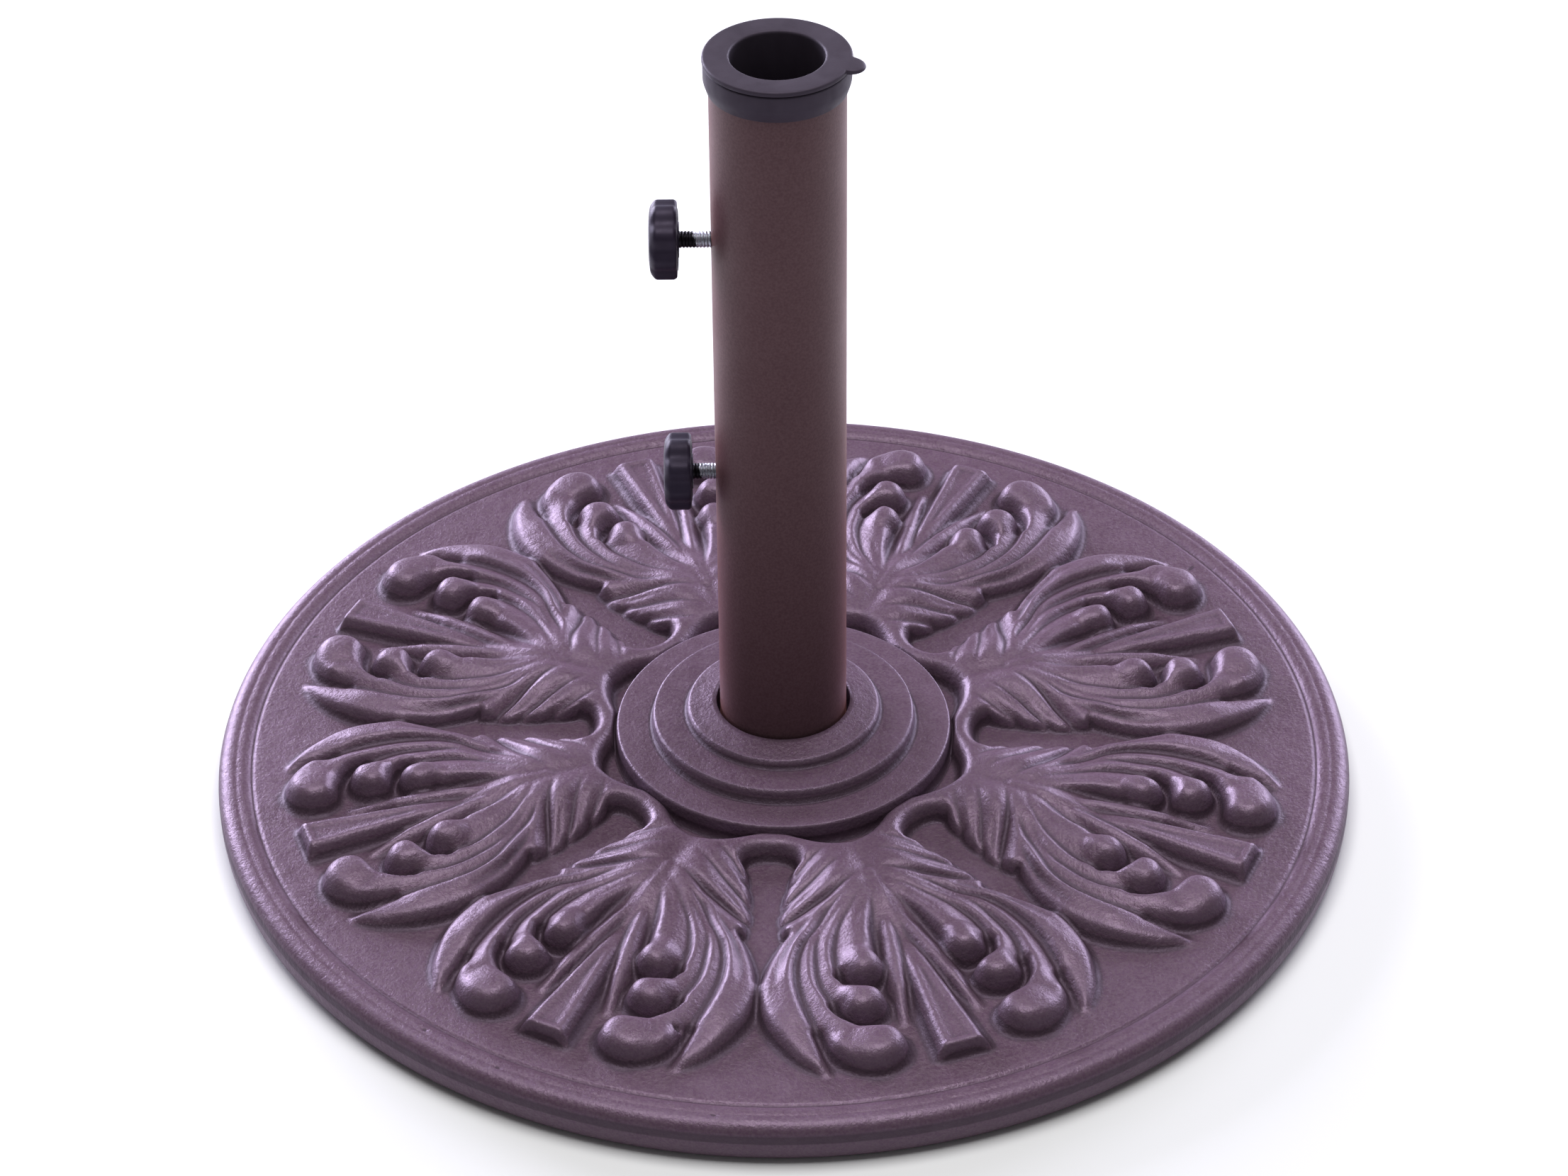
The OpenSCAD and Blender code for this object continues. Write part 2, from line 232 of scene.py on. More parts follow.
def leaf(u, v):
    """Height of the leaf beside the bar: lobes with rounded edges, grooves between them, round curls."""
    edge = np.concatenate([curve(run) for run in LEAF_EDGE])
    deep = inside_distance(u, v, edge)
    rise = np.zeros(u.shape)
    curl = np.zeros(u.shape)
    for cu, cv, radius, height in CURLS:
        near = np.hypot(u - cu, v - cv) / radius
        rise = np.maximum(rise, height * np.clip(1 - near ** 2, 0, 1))
        curl = np.maximum(curl, smooth_step(1.5 - near, 0, 0.6))
    # the edge is rounded over this distance: more at the curls, beside the bar and at the inner end
    soft = 3.6 + 2.2 * curl
    beside_bar = smooth_step(14 - u, 0, 5) * smooth_step(142 - v, 0, 8) * smooth_step(v, 92, 106)
    soft += (4.4 - soft) * beside_bar
    soft += (5.2 - soft) * smooth_step(86 - v, 0, 8)
    wall = np.sqrt(1 - (1 - np.clip(deep / soft, 0, 1)) ** 2)
    # height of the leaf's back: lower at the blade's end, towards the gap between motifs, along the spine
    level = np.interp(v, [66, 80, 95, 115, 140, 165, 185, 202],
                      [8.4, 9.6, 11.2, 11.2, 9.8, 9.0, 8.6, 8.2])
    level -= 5.0 * smooth_step(v, 160, 197) * smooth_step(u, 44, 50)
    level -= 5.4 * smooth_step(u, 12, 38) * smooth_step(v, 76, 88) * smooth_step(128 - v, 0, 18)
    level -= 1.4 * np.exp(-(u / 4.4) ** 2) * smooth_step(v, 74, 96)
    level += 0.6 * np.exp(-((u - 11) / 6) ** 2) * smooth_step(v, 76, 90) * smooth_step(120 - v, 0, 14)
    cut = np.zeros(u.shape)
    for points, depths in GROOVES:
        cut = np.maximum(cut, groove(u, v, points, depths, *GROOVE_FLANKS))
    for points, depths in FINE_GROOVES:
        cut = np.maximum(cut, groove(u, v, points, depths, *FINE_FLANKS))
    # the outer blade falls away to its edge
    beyond, _ = nearest(u, v, curve(GROOVES[0][0]))
    blade = smooth_step(beyond, 1, 5) * smooth_step(v, 112, 130)
    fall = 3.4 * (1 - np.clip(deep / 9, 0, 1)) * smooth_step(190 - v, 0, 40)
    cut = cut + blade * (1.6 * smooth_step(150 - v, 0, 24) + fall)
    return wall * (level - cut + rise)


def ornament(u, v):
    """Height over the field of one half of one bar's motif."""
    h = leaf(u, v)
    # the leaf slopes down beside the bar, then a narrow inner blade runs along it
    floor = (11.0 - 0.3 * u) * np.clip((161 - v) / 47, 0, 1)
    floor = floor * smooth_step(16 - u, 0, 3) * smooth_step(v, 88, 100)
    h = smax(h, floor, 1.2)
    h = smax(h, ridge(u, v, [(3, 122), (5.2, 133), (8, 146), (11, 160), (14.4, 177)],
                      [2.4, 4.3, 4.9, 4.2, 1.2], [7.8, 8.2, 7.4, 5.8, 1.8], skew=-0.25), 1.2)
    return np.maximum(smax(h, bar(u, v), 0.6), 0)


def blur(z):
    """Soften a height grid by about one cell, so that steep edges do not step."""
    for axis in (0, 1):
        side = np.concatenate([z.take([1], axis), z, z.take([-2], axis)], axis)
        n = z.shape[axis]
        z = (side.take(range(n), axis) + 2 * z + side.take(range(2, n + 2), axis)) / 4
    return z


# ---------------------------------------------------------------- the casting
def plate_profile(r):
    """Height of the plain plate over its field at radius r: hub steps, groove, bead, round rim."""
    z = np.zeros(r.shape)
    for radius, soft, height in ((HUB_R - 0.6, 1.4, 10), (HUB_STEP_R, 3.0, 16), (HUB_CAP_R, 2.6, 19.5)):
        z = np.maximum(z, height * smooth_step(radius + soft / 2 - r, 0, soft))
    z += np.where(r < HUB_LIP_R, (HUB_LIP_R - r) / (HUB_LIP_R - MOUTH_R) * 2.0, 0)
    z -= 0.7 * np.exp(-((r - GROOVE_R) / 0.9) ** 2)
    z += smooth_step(r, GROOVE_R, GROOVE_R + 4)
    z -= 0.2 * np.exp(-((r - GROOVE_R - 6.3) / 0.8) ** 2)
    over = np.clip((r - (PLATE_R - RIM_ROUND)) / RIM_ROUND, 0, 1)
    return z - RIM_ROUND * (1 - np.sqrt(1 - over ** 2))


def bar_angles(even):
    """Real angles of the relief for even ones: each motif is turned a little, its edges stretched."""
    bars = BAR_PHASE + np.arange(-1, SECTORS + 2) * 360 / SECTORS
    turns = [BAR_TURNS[i % SECTORS] for i in range(-1, SECTORS + 2)]
    return even + np.interp(even, bars, turns)


def casting_rings():
    """Radii of the mesh rings, closest together over the relief, the steps and the rim."""
    spans = ((MOUTH_R, 36, 5), (36, 43, 10), (43, 50, 4), (50, 57, 10), (57, HUB_R - 2, 5),
             (HUB_R - 2, HUB_R + 1, 6), (HUB_R + 1, RELIEF_END, 150))
    rings = [np.linspace(start, end, count, endpoint=False) for start, end, count in spans]
    rings.append(np.linspace(RELIEF_END, GROOVE_R - 2, 5))
    rings.append(np.linspace(GROOVE_R - 1.5, PLATE_R - 6, 20, endpoint=False))
    rings.append(PLATE_R - RIM_ROUND + RIM_ROUND * np.sin(np.radians(np.linspace(-5, 90, 9))))
    return np.concatenate(rings)


# small holes left by gas in the casting: angle in degrees, radius of the place, radius of the hole
PITS = [(-102.9, 183.1, 1.5), (-118.8, 221.5, 0.9), (-128, 219.6, 0.8), (-141, 216.8, 0.8),
        (-97, 222, 0.7), (-47, 207, 0.7), (33, 208, 0.8), (160, 209, 0.9)]
PIT_DEPTH = 1.3  # as a share of the hole's radius


def grid_mesh(name, points):
    """Mesh of a grid of points in mm, of shape (rows, columns, 3), closed both ways."""
    rows, columns = points.shape[:2]
    i, j = np.meshgrid(np.arange(rows), np.arange(columns), indexing="ij")
    k, m = (i + 1) % rows, (j + 1) % columns
    faces = np.stack([i * columns + j, i * columns + m, k * columns + m, k * columns + j], axis=-1)
    mesh = bpy.data.meshes.new(name)
    mesh.from_pydata((points.reshape(-1, 3) * MM).tolist(), [], faces.reshape(-1, 4).tolist())
    return mesh


def casting_mesh():
    half_steps = 60
    wedge = np.radians(np.linspace(0, HALF_MOTIF, half_steps + 1))
    rings = casting_rings()
    r, a = np.meshgrid(rings, wedge)
    relief = ornament(r * np.sin(a), r * np.cos(a)) * np.clip((rings - HUB_R) / 0.5, 0, 1)
    half = plate_profile(rings) + blur(relief)
    # unfold the wedge into a whole turn: mirrored about the bar line, then repeated
    z = np.tile(np.concatenate([half[::-1], half[1:-1]]), (SECTORS, 1))
    count = z.shape[0]
    angle = np.radians(bar_angles(BAR_PHASE - HALF_MOTIF + np.arange(count) * 360 / count))
    x = rings * np.cos(angle)[:, None]
    y = rings * np.sin(angle)[:, None]
    for turn, place, size in PITS:
        turn = math.radians(turn)
        near = np.hypot(x - place * math.cos(turn), y - place * math.sin(turn)) / size
        z = z - PIT_DEPTH * size * np.clip(1 - near ** 2, 0, 1)
    # how much the surface bulges (+) or hollows (-), and how steep it is: for wear and painted highlight
    # on the crests, and painted shade in the hollows and on steep walls
    bulge = z - blur(blur(blur(z)))
    across = (np.roll(z, -1, axis=0) - np.roll(z, 1, axis=0)) / (rings * 4 * np.pi / count)
    outwards = np.gradient(z, axis=1) / np.gradient(rings)
    steep = smooth_step(np.hypot(across, outwards), 0.45, 1.7)
    top = np.stack([x, y, z + FIELD], axis=-1)
    # the rim's side, the flat underside, the bolt's pocket and hole, and the stem's socket
    pocket_r, pocket_top, hole_r = 19, 12.2, 4.6
    side = [(PLATE_R, FIELD - 6.5), (PLATE_R, BOTTOM + 7), (PLATE_R - 0.3, BOTTOM + 4.5),
            (PLATE_R - 1.0, BOTTOM + 2.2), (PLATE_R - 2.4, BOTTOM + 0.5), (PLATE_R - 4, BOTTOM),
            (120, BOTTOM), (pocket_r, BOTTOM), (pocket_r, pocket_top), (hole_r, pocket_top),
            (hole_r, SOCKET_FLOOR), (SOCKET_R, SOCKET_FLOOR), (SOCKET_R, FIELD + 13.5),
            (MOUTH_R, FIELD + 14.3), (MOUTH_R, FIELD + 20.5)]
    sweep = np.array([[(pr * math.cos(t), pr * math.sin(t), pz) for pr, pz in side] for t in angle])
    mesh = grid_mesh("casting", np.concatenate([top, sweep], axis=1))
    mesh.shade_smooth()
    # the swept rim side and underside count as fully steep, so they take the painted shade too
    for label, values, rest in (("wear_and_painted_light", bulge, 0), ("steep", steep, 1)):
        values = np.concatenate([values, np.full(sweep.shape[:2], rest)], axis=1)
        layer = mesh.attributes.new(label, "FLOAT", "POINT")
        layer.data.foreach_set("value", values.ravel().astype(np.float32))
    return mesh


# ---------------------------------------------------------------- turned and star-shaped pieces
def eased(corners):
    """Closed outline of (radius, height, easing): each corner is rounded over its easing, in mm."""
    out = []
    for i, (r, h, ease) in enumerate(corners):
        here = np.array([r, h])
        if ease == 0:
            out.append(here)
            continue
        before = np.array(corners[i - 1][:2]) - here
        after = np.array(corners[(i + 1) % len(corners)][:2]) - here
        start = here + before * min(ease / np.linalg.norm(before), 0.45)
        end = here + after * min(ease / np.linalg.norm(after), 0.45)
        for t in np.linspace(0, 1, 5):
            out.append((1 - t) ** 2 * start + 2 * t * (1 - t) * here + t ** 2 * end)
    return np.array(out)


def turned(name, outline, steps, place, shape=None):
    """Closed outline of (radius, height) turned about an axis.

    place(angle, radius, height) sets each point; shape may change a point's radius and height first.
    """
    angle = np.linspace(0, 2 * np.pi, steps, endpoint=False)
    a, r = np.meshgrid(angle, outline[:, 0], indexing="ij")
    h = np.broadcast_to(outline[:, 1], a.shape)
    if shape:
        r, h = shape(a, r, h)
    mesh = grid_mesh(name, np.stack(place(a, r, h), axis=-1))
    bm = bmesh.new()
    bm.from_mesh(mesh)
    bmesh.ops.remove_doubles(bm, verts=bm.verts, dist=0.002 * MM)
    bmesh.ops.recalc_face_normals(bm, faces=bm.faces)
    bm.to_mesh(mesh)
    bm.free()
    mesh.shade_smooth()
    mesh.set_sharp_from_angle(angle=math.radians(38))
    return mesh


def upright(a, r, h):
    """Placing about the stem's axis: heights run up."""
    return r * np.cos(a), r * np.sin(a), h


def at_clamp(x, z):
    """Placing about a clamp's axis: heights run outwards (-X) from the knob's back at x."""
    return lambda a, r, h: (x - h, r * np.sin(a), z + r * np.cos(a))


def collar_mesh():
    """Collar with a skirt over the tube's end and a plug inside it."""
    top, bottom = collar_high[2], collar_high[2] - 11.1
    skirt, bore, inside, rest = collar_high[0], 19.3, collar_low[2], tube_high[2]
    plug = STEM_R - 1.55
    return turned("collar", eased([
        (bore, inside, 0.3), (bore, top, 0.7), (skirt, top, 0.9), (skirt, bottom + 4, 1.2),
        (STEM_R + 0.6, bottom, 0.25), (STEM_R + 0.05, bottom, 0), (STEM_R + 0.05, rest, 0),
        (plug, rest, 0), (plug, inside + 1, 0.4), (plug - 1, inside, 0.3),
        (plug - 2, inside, 0), (plug - 2, rest - 4, 0.3),
        (bore + 1.4, rest - 4, 0.3), (bore + 1.4, inside, 0)]), 128, upright)


def reducer_mesh():
    """Flanged sleeve; the flange runs out into a rounded pull tab on one side."""
    top, bottom, flange, hole, sleeve = ring_high[2], ring_low[2], 27.6, 17.5, 19.2
    tab_at, tab_half, tab_end = math.radians(-14), 5.0, 32.9

    def shape(a, r, h):
        reach = tab_end - tab_half
        off = np.clip(reach * np.abs((a - tab_at + np.pi) % (2 * np.pi) - np.pi), 0, 60) / reach
        chord = np.clip(tab_half ** 2 - (reach * np.sin(off)) ** 2, 0, None)
        edge = np.where((off < 0.5) & (chord > 0), reach * np.cos(off) + np.sqrt(chord), 0)
        edge = smax(np.full(a.shape, flange), edge, 1.6)
        out = np.clip((r - 24) / (flange - 24), 0, 1) * (h > top - 2.01)
        low = 0.3 * smooth_step(edge, flange + 0.4, flange + 1.6) * smooth_step(out, 0.5, 1)
        return r + (edge - flange) * out, h - low * (h > top - 1)

    return turned("reducer", eased([
        (hole, bottom, 0.5), (sleeve, bottom, 0.9), (sleeve, top - 2, 0.15), (24, top - 2, 0),
        (flange, top - 2, 0.5), (flange, top, 1.1), (25.5, top, 0), (24, top, 0),
        (hole, top, 1.3)]), 480, upright, shape)


KNOB_R = 15.0
LOBES = 8
SCALLOP = 1.5
LOBE_TURN = math.radians(8)


def knob_mesh(place):
    """Star knob: eight lobes, bevelled front, hollow back with a boss and eight ribs."""
    boss, floor_end = 6.9, 11.3
    boss_face = eased([(3.25, 0, 0), (boss, 0, 0.3)])
    hollow = np.array([(r, 0.35) for r in (boss, 7.0, 7.15, 7.3, 8, 9, 10, 10.9, 11.05, 11.2, floor_end)])
    front = eased([
        (11.8, 0.55, 0), (14.2, 0.7, 0.4), (15, 1.7, 0.6), (15, 8.8, 1.0), (12.6, 10.75, 1.2),
        (8.6, 11.2, 0.8), (5.8, 11.2, 0.2), (5.575, 11.0, 0), (5.575, 5.8, 0), (3.25, 5.8, 0)])

    def shape(a, r, h):
        wave = 0.5 - 0.5 * np.cos(LOBES * (a + LOBE_TURN))
        star = KNOB_R - SCALLOP * wave ** 1.3
        new_r = r - (KNOB_R - star) * np.clip((r - 11.6) / (KNOB_R - 11.6), 0, 1)
        from_rib = (a * LOBES / (2 * np.pi) + 0.5) % 1 * 2 * np.pi / LOBES - np.pi / LOBES
        rib = np.abs(r * np.sin(from_rib))
        pocket = smooth_step(r, boss, 7.3) * smooth_step(floor_end - r, 0, 0.4)
        pocket = pocket * smooth_step(rib, 0.7, 1.1)
        return new_r, h + 4.2 * pocket * (h < 0.5)

    return turned("knob", np.concatenate([boss_face, hollow, front]), 320, place, shape)


def cap_mesh(place):
    """Slightly domed disc over the screw's head."""
    return turned("knob_cap", eased([
        (0, 10.1, 0), (5.5, 10.1, 0.1), (5.5, 10.95, 0.3), (4.4, 11.1, 0.5), (4.1, 11.0, 0.3),
        (0, 11.2, 0)]), 64, place)


def screw_mesh(place):
    """Clamp screw: round head, plain neck and a right-hand thread to the tip."""
    pitch, crest, depth = 1.27, 3.175, 0.36
    head_r, under_head, tip = 5.5, 5.875, -19.4
    rows = np.arange(0.2, tip + 0.7, -pitch / 10)
    head = eased([(0, 10, 0), (head_r, 10, 0.6), (head_r, under_head, 0.2), (crest, under_head, 0),
                  (crest, 1.0, 0)])
    thread = np.array([(crest, h) for h in rows])
    end = np.array([(crest - 0.7, tip), (0, tip)])

    def shape(a, r, h):
        phase = (h / pitch - a / (2 * np.pi)) % 1
        cut = np.clip((1 - np.abs(2 * phase - 1) - 0.12) / 0.78, 0, 1)
        fade = smooth_step(0.2 - h, 0, 1.2) * (h > tip + 0.1)
        return r - depth * cut * fade, h

    return turned("screw", np.concatenate([head, thread, end]), 56, place, shape)


# ---------------------------------------------------------------- materials
class Paint:
    """A node material under construction; every pattern is in object coordinates, in metres."""

    def __init__(self, name):
        self.mat = bpy.data.materials.new(name)
        self.mat.use_nodes = True
        self.tree = self.mat.node_tree
        self.shader = self.tree.nodes["Principled BSDF"]
        self.place = self.tree.nodes.new("ShaderNodeTexCoord").outputs["Object"]

    def set(self, **values):
        for key, value in values.items():
            self.shader.inputs[key.replace("_", " ")].default_value = value

    def link(self, out, socket):
        self.tree.links.new(out, socket)

    def noise(self, size_mm, detail=3.0, rough=0.55, stretch=(1, 1, 1)):
        """Noise of 0 to 1 whose blobs are about size_mm across."""
        place = self.place
        if stretch != (1, 1, 1):
            scale = self.tree.nodes.new("ShaderNodeMapping")
            scale.inputs["Scale"].default_value = stretch
            self.link(place, scale.inputs["Vector"])
            place = scale.outputs["Vector"]
        tex = self.tree.nodes.new("ShaderNodeTexNoise")
        tex.inputs["Scale"].default_value = 1 / (size_mm * MM)
        tex.inputs["Detail"].default_value = detail
        tex.inputs["Roughness"].default_value = rough
        self.link(place, tex.inputs["Vector"])
        return tex.outputs["Fac"]

    def attribute(self, name):
        """A number stored on the mesh's points."""
        node = self.tree.nodes.new("ShaderNodeAttribute")
        node.attribute_name = name
        return node.outputs["Fac"]

    def ramp(self, fac, low, high, a=0.0, b=1.0):
        """Map low..high of a pattern to a..b."""
        node = self.tree.nodes.new("ShaderNodeMapRange")
        for key, value in (("From Min", low), ("From Max", high), ("To Min", a), ("To Max", b)):
            node.inputs[key].default_value = value
        self.link(fac, node.inputs["Value"])
        return node.outputs["Result"]

    def mix(self, fac, a, b):
        """Colour a where fac is 0, and b where it is 1; each is a colour or another mix."""
        node = self.tree.nodes.new("ShaderNodeMix")
        node.data_type = "RGBA"
        self.link(fac, node.inputs["Factor"])
        for socket, value in ((node.inputs["A"], a), (node.inputs["B"], b)):
            if isinstance(value, tuple):
                socket.default_value = (*value, 1)
            else:
                self.link(value, socket)
        return node.outputs["Result"]

    def math(self, kind, a, b):
        node = self.tree.nodes.new("ShaderNodeMath")
        node.operation = kind
        for socket, value in zip(node.inputs, (a, b)):
            if isinstance(value, (int, float)):
                socket.default_value = value
            else:
                self.link(value, socket)
        return node.outputs["Value"]

    def colour(self, out):
        self.link(out, self.shader.inputs["Base Color"])

    def roughness(self, out):
        self.link(out, self.shader.inputs["Roughness"])

    def bumps(self, *layers):
        """Layers of (pattern, height in mm), one on top of the other."""
        normal = None
        for pattern, height in layers:
            node = self.tree.nodes.new("ShaderNodeBump")
            node.inputs["Strength"].default_value = 1.0
            node.inputs["Distance"].default_value = height * MM
            self.link(pattern, node.inputs["Height"])
            if normal is not None:
                self.link(normal, node.inputs["Normal"])
            normal = node.outputs["Normal"]
        self.link(normal, self.shader.inputs["Normal"])


def bronze_paint():
    """Satin plum-bronze paint over a rough casting: lighter on the crests, partly wear and partly painted
    highlight, and rougher in the hollows, with painted shade darkening the hollows and steep walls.
    """
    p = Paint("bronze_paint")
    crest = p.ramp(p.attribute("wear_and_painted_light"), 0.02, 0.22)
    hollow = p.ramp(p.attribute("wear_and_painted_light"), -0.02, -0.25)
    cloud = p.ramp(p.noise(55, 3), 0.3, 0.7)
    speck = p.ramp(p.noise(1.1, 2), 0.38, 0.62)
    body = p.mix(cloud, (0.104, 0.053, 0.086), (0.124, 0.067, 0.109))
    body = p.mix(speck, body, (0.144, 0.090, 0.122))
    # crests lighter: partly paint wear, partly a painted highlight
    body = p.mix(p.math("MULTIPLY", crest, 0.22), body, (0.20, 0.14, 0.20))
    # painted shade: the hollows are darkened where shade falls; the same mask also makes them rougher
    body = p.mix(p.math("MULTIPLY", hollow, 0.7), body, (0.040, 0.023, 0.032))
    # painted shade: steep walls, and the rim's side and underside, darkened
    body = p.mix(p.math("MULTIPLY", p.attribute("steep"), 0.3), body, (0.034, 0.019, 0.026))
    p.colour(body)
    rough = p.ramp(p.noise(7, 4), 0.3, 0.7, 0.36, 0.48)
    p.roughness(p.math("ADD", rough, p.math("MULTIPLY", hollow, 0.12)))
    p.set(Metallic=0.25, Specular_IOR_Level=0.6, Specular_Tint=(0.84, 0.75, 1.0, 1))
    p.bumps((p.noise(9, 3), 0.45), (p.noise(1.7, 3, 0.65), 0.28), (p.noise(0.5, 2), 0.05))
    return p.mat


def powder_coat():
    """Dark brown powder coat with a fine orange-peel grain."""
    p = Paint("stem_paint")
    p.colour(p.mix(p.ramp(p.noise(1.0, 2), 0.35, 0.65), (0.078, 0.040, 0.049), (0.104, 0.058, 0.067)))
    p.roughness(p.ramp(p.noise(30, 3), 0.3, 0.7, 0.42, 0.52))
    p.set(Specular_IOR_Level=0.42, Specular_Tint=(1.0, 0.66, 0.66, 1))
    p.set(Sheen_Weight=0.16, Sheen_Roughness=0.35, Sheen_Tint=(0.85, 0.30, 0.26, 1))
    p.bumps((p.noise(0.8, 3, 0.6), 0.05), (p.noise(6, 2), 0.04))
    return p.mat


def moulded_plastic(name, dark, light, low_rough, high_rough, grain):
    """Moulded plastic with a fine matt grain, faint flow marks and a little handling dust."""
    p = Paint(name)
    flow = p.ramp(p.noise(12, 3, stretch=(1, 1, 0.25)), 0.35, 0.75)
    p.colour(p.mix(flow, dark, light))
    p.roughness(p.ramp(p.noise(4, 4), 0.3, 0.7, low_rough, high_rough))
    p.set(Specular_IOR_Level=0.38, Specular_Tint=(0.86, 0.72, 1.0, 1))
    p.bumps((p.noise(0.35, 2), grain), (p.noise(5, 2), 0.03))
    return p.mat


def zinc_plate():
    """Zinc plate with fine turning marks and a slightly cloudy film."""
    p = Paint("zinc_steel")
    p.colour(p.mix(p.ramp(p.noise(2.5, 4), 0.35, 0.7), (0.50, 0.50, 0.54), (0.74, 0.75, 0.80)))
    p.roughness(p.ramp(p.noise(1.2, 3), 0.3, 0.7, 0.22, 0.42))
    p.set(Metallic=1.0)
    p.bumps((p.noise(0.4, 2), 0.012))
    return p.mat


def knob_shaded_screw(bright_from, bright_to, height):
    """Screw steel painted dark near the knob with the knob's shadow and reflection; bright bare metal
    along the stretch that runs through the nut.
    """
    p = Paint("screw_steel")
    split = p.tree.nodes.new("ShaderNodeSeparateXYZ")
    p.link(p.place, split.inputs[0])
    # the painted shade's edge leans, so it reaches further along the screw's underside
    lean = p.math("MULTIPLY", p.math("SUBTRACT", split.outputs["Z"], height * MM), 0.3)
    ragged = p.math("ADD", split.outputs["X"], p.ramp(p.noise(0.9, 3), 0.3, 0.7, -0.0004, 0.0004))
    bright = p.ramp(p.math("ADD", ragged, lean), bright_from * MM, bright_to * MM)
    metal = p.mix(p.ramp(p.noise(0.7, 3), 0.35, 0.7), (0.42, 0.43, 0.50), (0.78, 0.80, 0.90))
    # painted shadow and reflection of the knob near it, bare metal beyond
    p.colour(p.mix(bright, (0.030, 0.028, 0.034), metal))
    p.roughness(p.ramp(p.noise(0.6, 3), 0.3, 0.7, 0.34, 0.50))
    p.set(Metallic=1.0)
    p.bumps((p.noise(0.3, 2), 0.01))
    return p.mat


def rubber():
    """Matt black rubber with a trace of dust."""
    p = Paint("rubber")
    p.colour(p.mix(p.ramp(p.noise(3, 4), 0.4, 0.7), (0.012, 0.012, 0.013), (0.035, 0.033, 0.032)))
    p.roughness(p.ramp(p.noise(1.5, 3), 0.3, 0.7, 0.7, 0.9))
    p.bumps((p.noise(0.5, 2), 0.03))
    return p.mat


BRONZE = bronze_paint()
STEM_PAINT = powder_coat()
PLASTIC = moulded_plastic("black_plastic", (0.034, 0.026, 0.037), (0.048, 0.038, 0.053),
                          0.50, 0.62, 0.02)
KNOB_PLASTIC = moulded_plastic("knob_plastic", (0.013, 0.009, 0.019), (0.021, 0.016, 0.031),
                               0.46, 0.58, 0.012)
ZINC = zinc_plate()
RUBBER = rubber()


# ---------------------------------------------------------------- pieces
# where the painted shadow and reflection of the knob on the clamp screws ends, along X
KNOB_SHADE_FROM, KNOB_SHADE_TO = -31.2, -30.8


def add_piece(name, mesh, body, slot, material, *replaced):
    """One visible piece: its material, the body it moves with and the nodes it stands for."""
    piece = bpy.data.objects.new(name, mesh)
    bpy.context.collection.objects.link(piece)
    mesh.materials.append(material)
    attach(piece, body)
    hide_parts(*replaced)
    return piece


add_piece("casting", casting_mesh(), "stand", "casting", BRONZE, "base_casting")
add_piece("collar", collar_mesh(), "stand", "black_plastic", PLASTIC, "pole_collar")
add_piece("reducer", reducer_mesh(), "reducer", "black_plastic", PLASTIC, "reducer_ring")
for side in ("upper", "lower"):
    knob_low, knob_high = node_mm(side + "_knob")
    middle = (knob_low[2] + knob_high[2]) / 2
    place = at_clamp(knob_high[0], middle)
    add_piece(side + "_star", knob_mesh(place), side + "_knob", "knob_plastic", KNOB_PLASTIC,
              side + "_knob")
    add_piece(side + "_disc", cap_mesh(place), side + "_knob", "knob_plastic", KNOB_PLASTIC,
              side + "_knob_cap")
    add_piece(side + "_thread", screw_mesh(place), side + "_screw", "zinc_steel",
              knob_shaded_screw(KNOB_SHADE_FROM, KNOB_SHADE_TO, middle), side + "_clamp_screw")

# pieces whose shape in the frame is already the real one
node_materials = {
    "foot_pad": RUBBER, "base_bolt": ZINC, "base_washer": ZINC, "base_lock_washer": ZINC,
    "stem_tube": STEM_PAINT, "stem_foot_disc": STEM_PAINT, "stem_foot_nut": ZINC,
    "upper_weld_nut": ZINC, "lower_weld_nut": ZINC}
for name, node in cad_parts.items():
    for start, material in node_materials.items():
        if name.startswith(start):
            node.data.materials.clear()
            node.data.materials.append(material)


# ---------------------------------------------------------------- stage, light and camera
def add_floor():
    mesh = bpy.data.meshes.new("floor")
    half = 15
    corners = [(-half, -half, 0), (half, -half, 0), (half, half, 0), (-half, half, 0)]
    mesh.from_pydata(corners, [], [(0, 1, 2, 3)])
    p = Paint("floor_white")
    p.set(Base_Color=(0.88, 0.88, 0.885, 1), Roughness=0.8)
    mesh.materials.append(p.mat)
    floor = bpy.data.objects.new("floor", mesh)
    bpy.context.collection.objects.link(floor)


PANEL_SIZE = (1.6, 1.1)
PANEL_COLOUR = (0.84, 0.82, 1.0)
PANEL_SPREAD = 130
AIM = Vector((0, 0, 0.05))


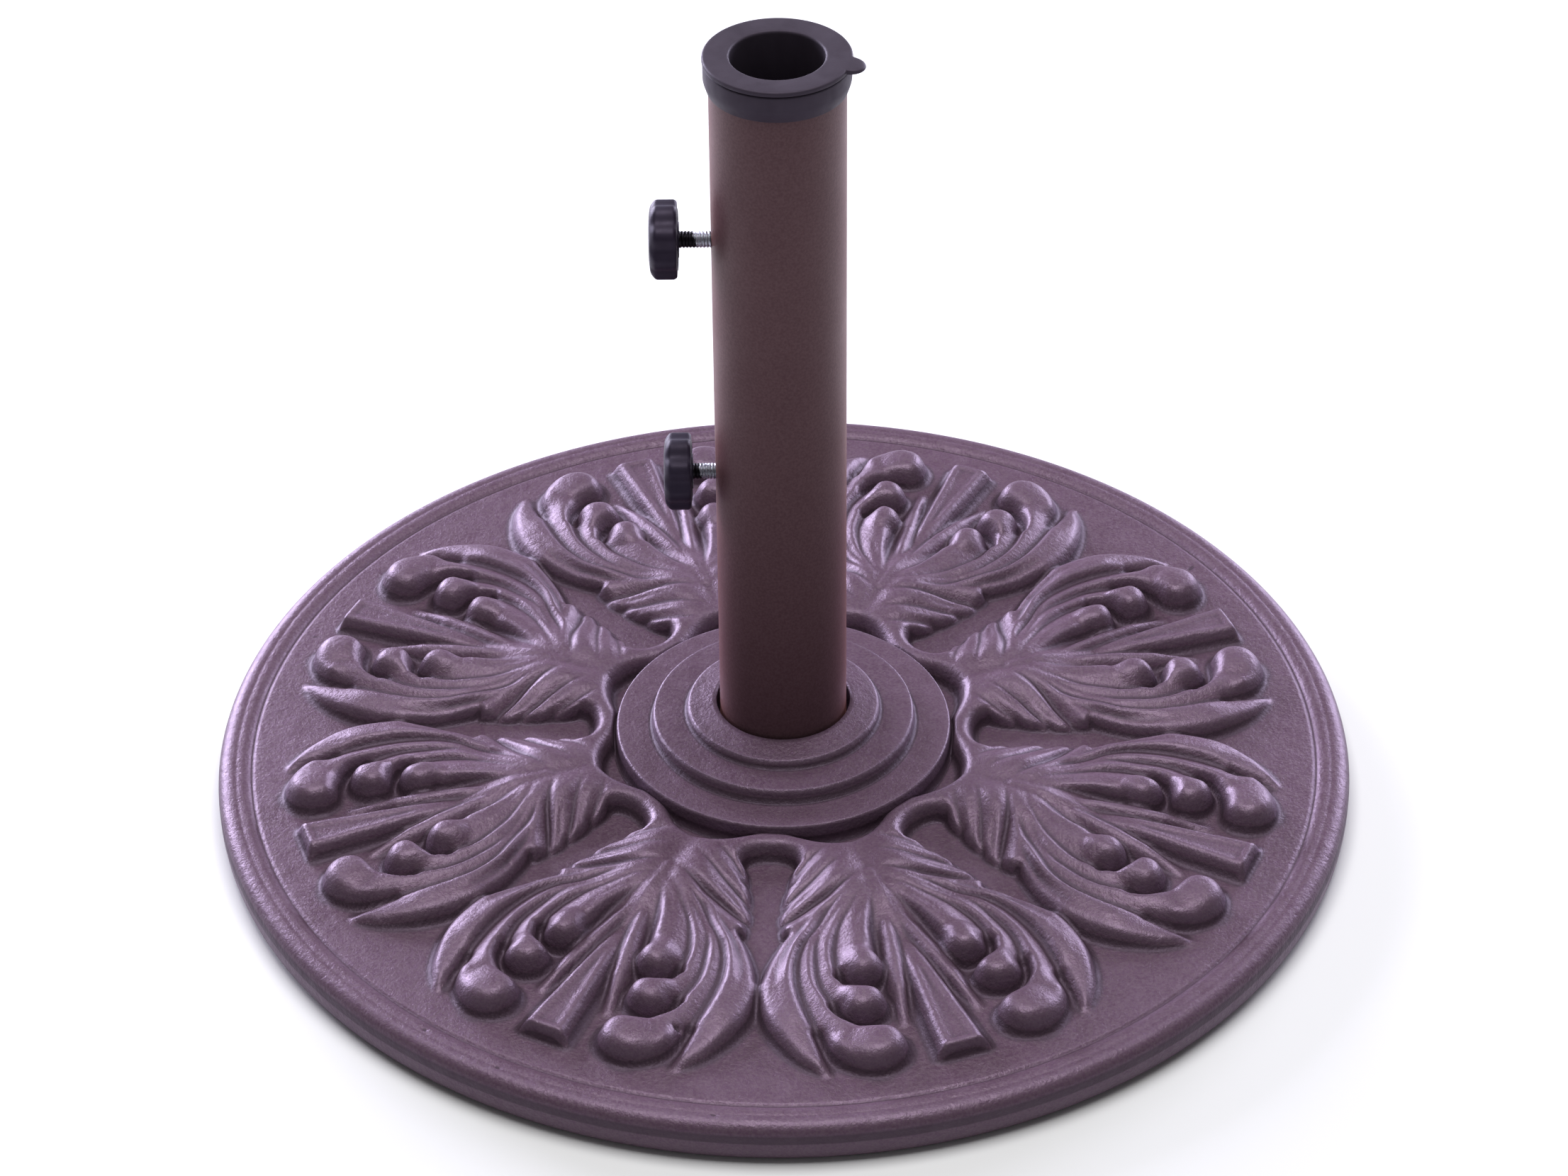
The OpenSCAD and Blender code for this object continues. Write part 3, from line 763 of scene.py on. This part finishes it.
def area_light(name, place, size, power, colour=(1, 1, 1), spread=180):
    data = bpy.data.lights.new(name, "AREA")
    data.shape = "RECTANGLE"
    data.size, data.size_y = size
    data.energy = power
    data.color = colour
    data.spread = math.radians(spread)
    lamp = bpy.data.objects.new(name, data)
    lamp.location = place
    lamp.rotation_euler = (AIM - Vector(place)).to_track_quat("-Z", "Y").to_euler()
    bpy.context.collection.objects.link(lamp)


def add_lights():
    area_light("back_left_panel", (-1.5, 1.85, 0.65), PANEL_SIZE, 50, PANEL_COLOUR, PANEL_SPREAD)
    area_light("back_right_panel", (1.5, 1.85, 0.65), PANEL_SIZE, 27, PANEL_COLOUR, PANEL_SPREAD)
    area_light("top_softbox", (0, 0, 2.3), (1.5, 1.4), 44)
    world = bpy.data.worlds.new("studio")
    world.use_nodes = True
    world.node_tree.nodes["Background"].inputs["Color"].default_value = (1, 1, 1, 1)
    world.node_tree.nodes["Background"].inputs["Strength"].default_value = 0.13
    bpy.context.scene.world = world
    bpy.context.scene.view_settings.view_transform = "Standard"


def add_camera():
    """A long lens in front of the plate, looking down at it a little off centre and a touch rolled."""
    distance = 1.7717
    elevation = math.radians(38.767)
    pan, tilt, roll = math.radians(-0.024), math.radians(1.987), math.radians(0.5385)
    place = Vector((0, -distance * math.cos(elevation), distance * math.sin(elevation)))
    forward = -place.normalized()
    right = Vector((1, 0, 0))
    up = right.cross(forward)
    forward = Matrix.Rotation(pan, 3, up) @ forward
    right = Matrix.Rotation(pan, 3, up) @ right
    forward = Matrix.Rotation(tilt, 3, right) @ forward
    up = Matrix.Rotation(tilt, 3, right) @ up
    right = Matrix.Rotation(roll, 3, forward) @ right
    up = Matrix.Rotation(roll, 3, forward) @ up
    data = bpy.data.cameras.new("camera")
    data.lens = 100.14
    data.sensor_width = 36
    camera = bpy.data.objects.new("camera", data)
    rows = Matrix((right, up, -forward)).transposed().to_4x4()
    camera.matrix_world = Matrix.Translation(place + Vector((0, 0, FIELD * MM))) @ rows
    bpy.context.collection.objects.link(camera)
    bpy.context.scene.camera = camera


add_floor()
add_lights()
add_camera()
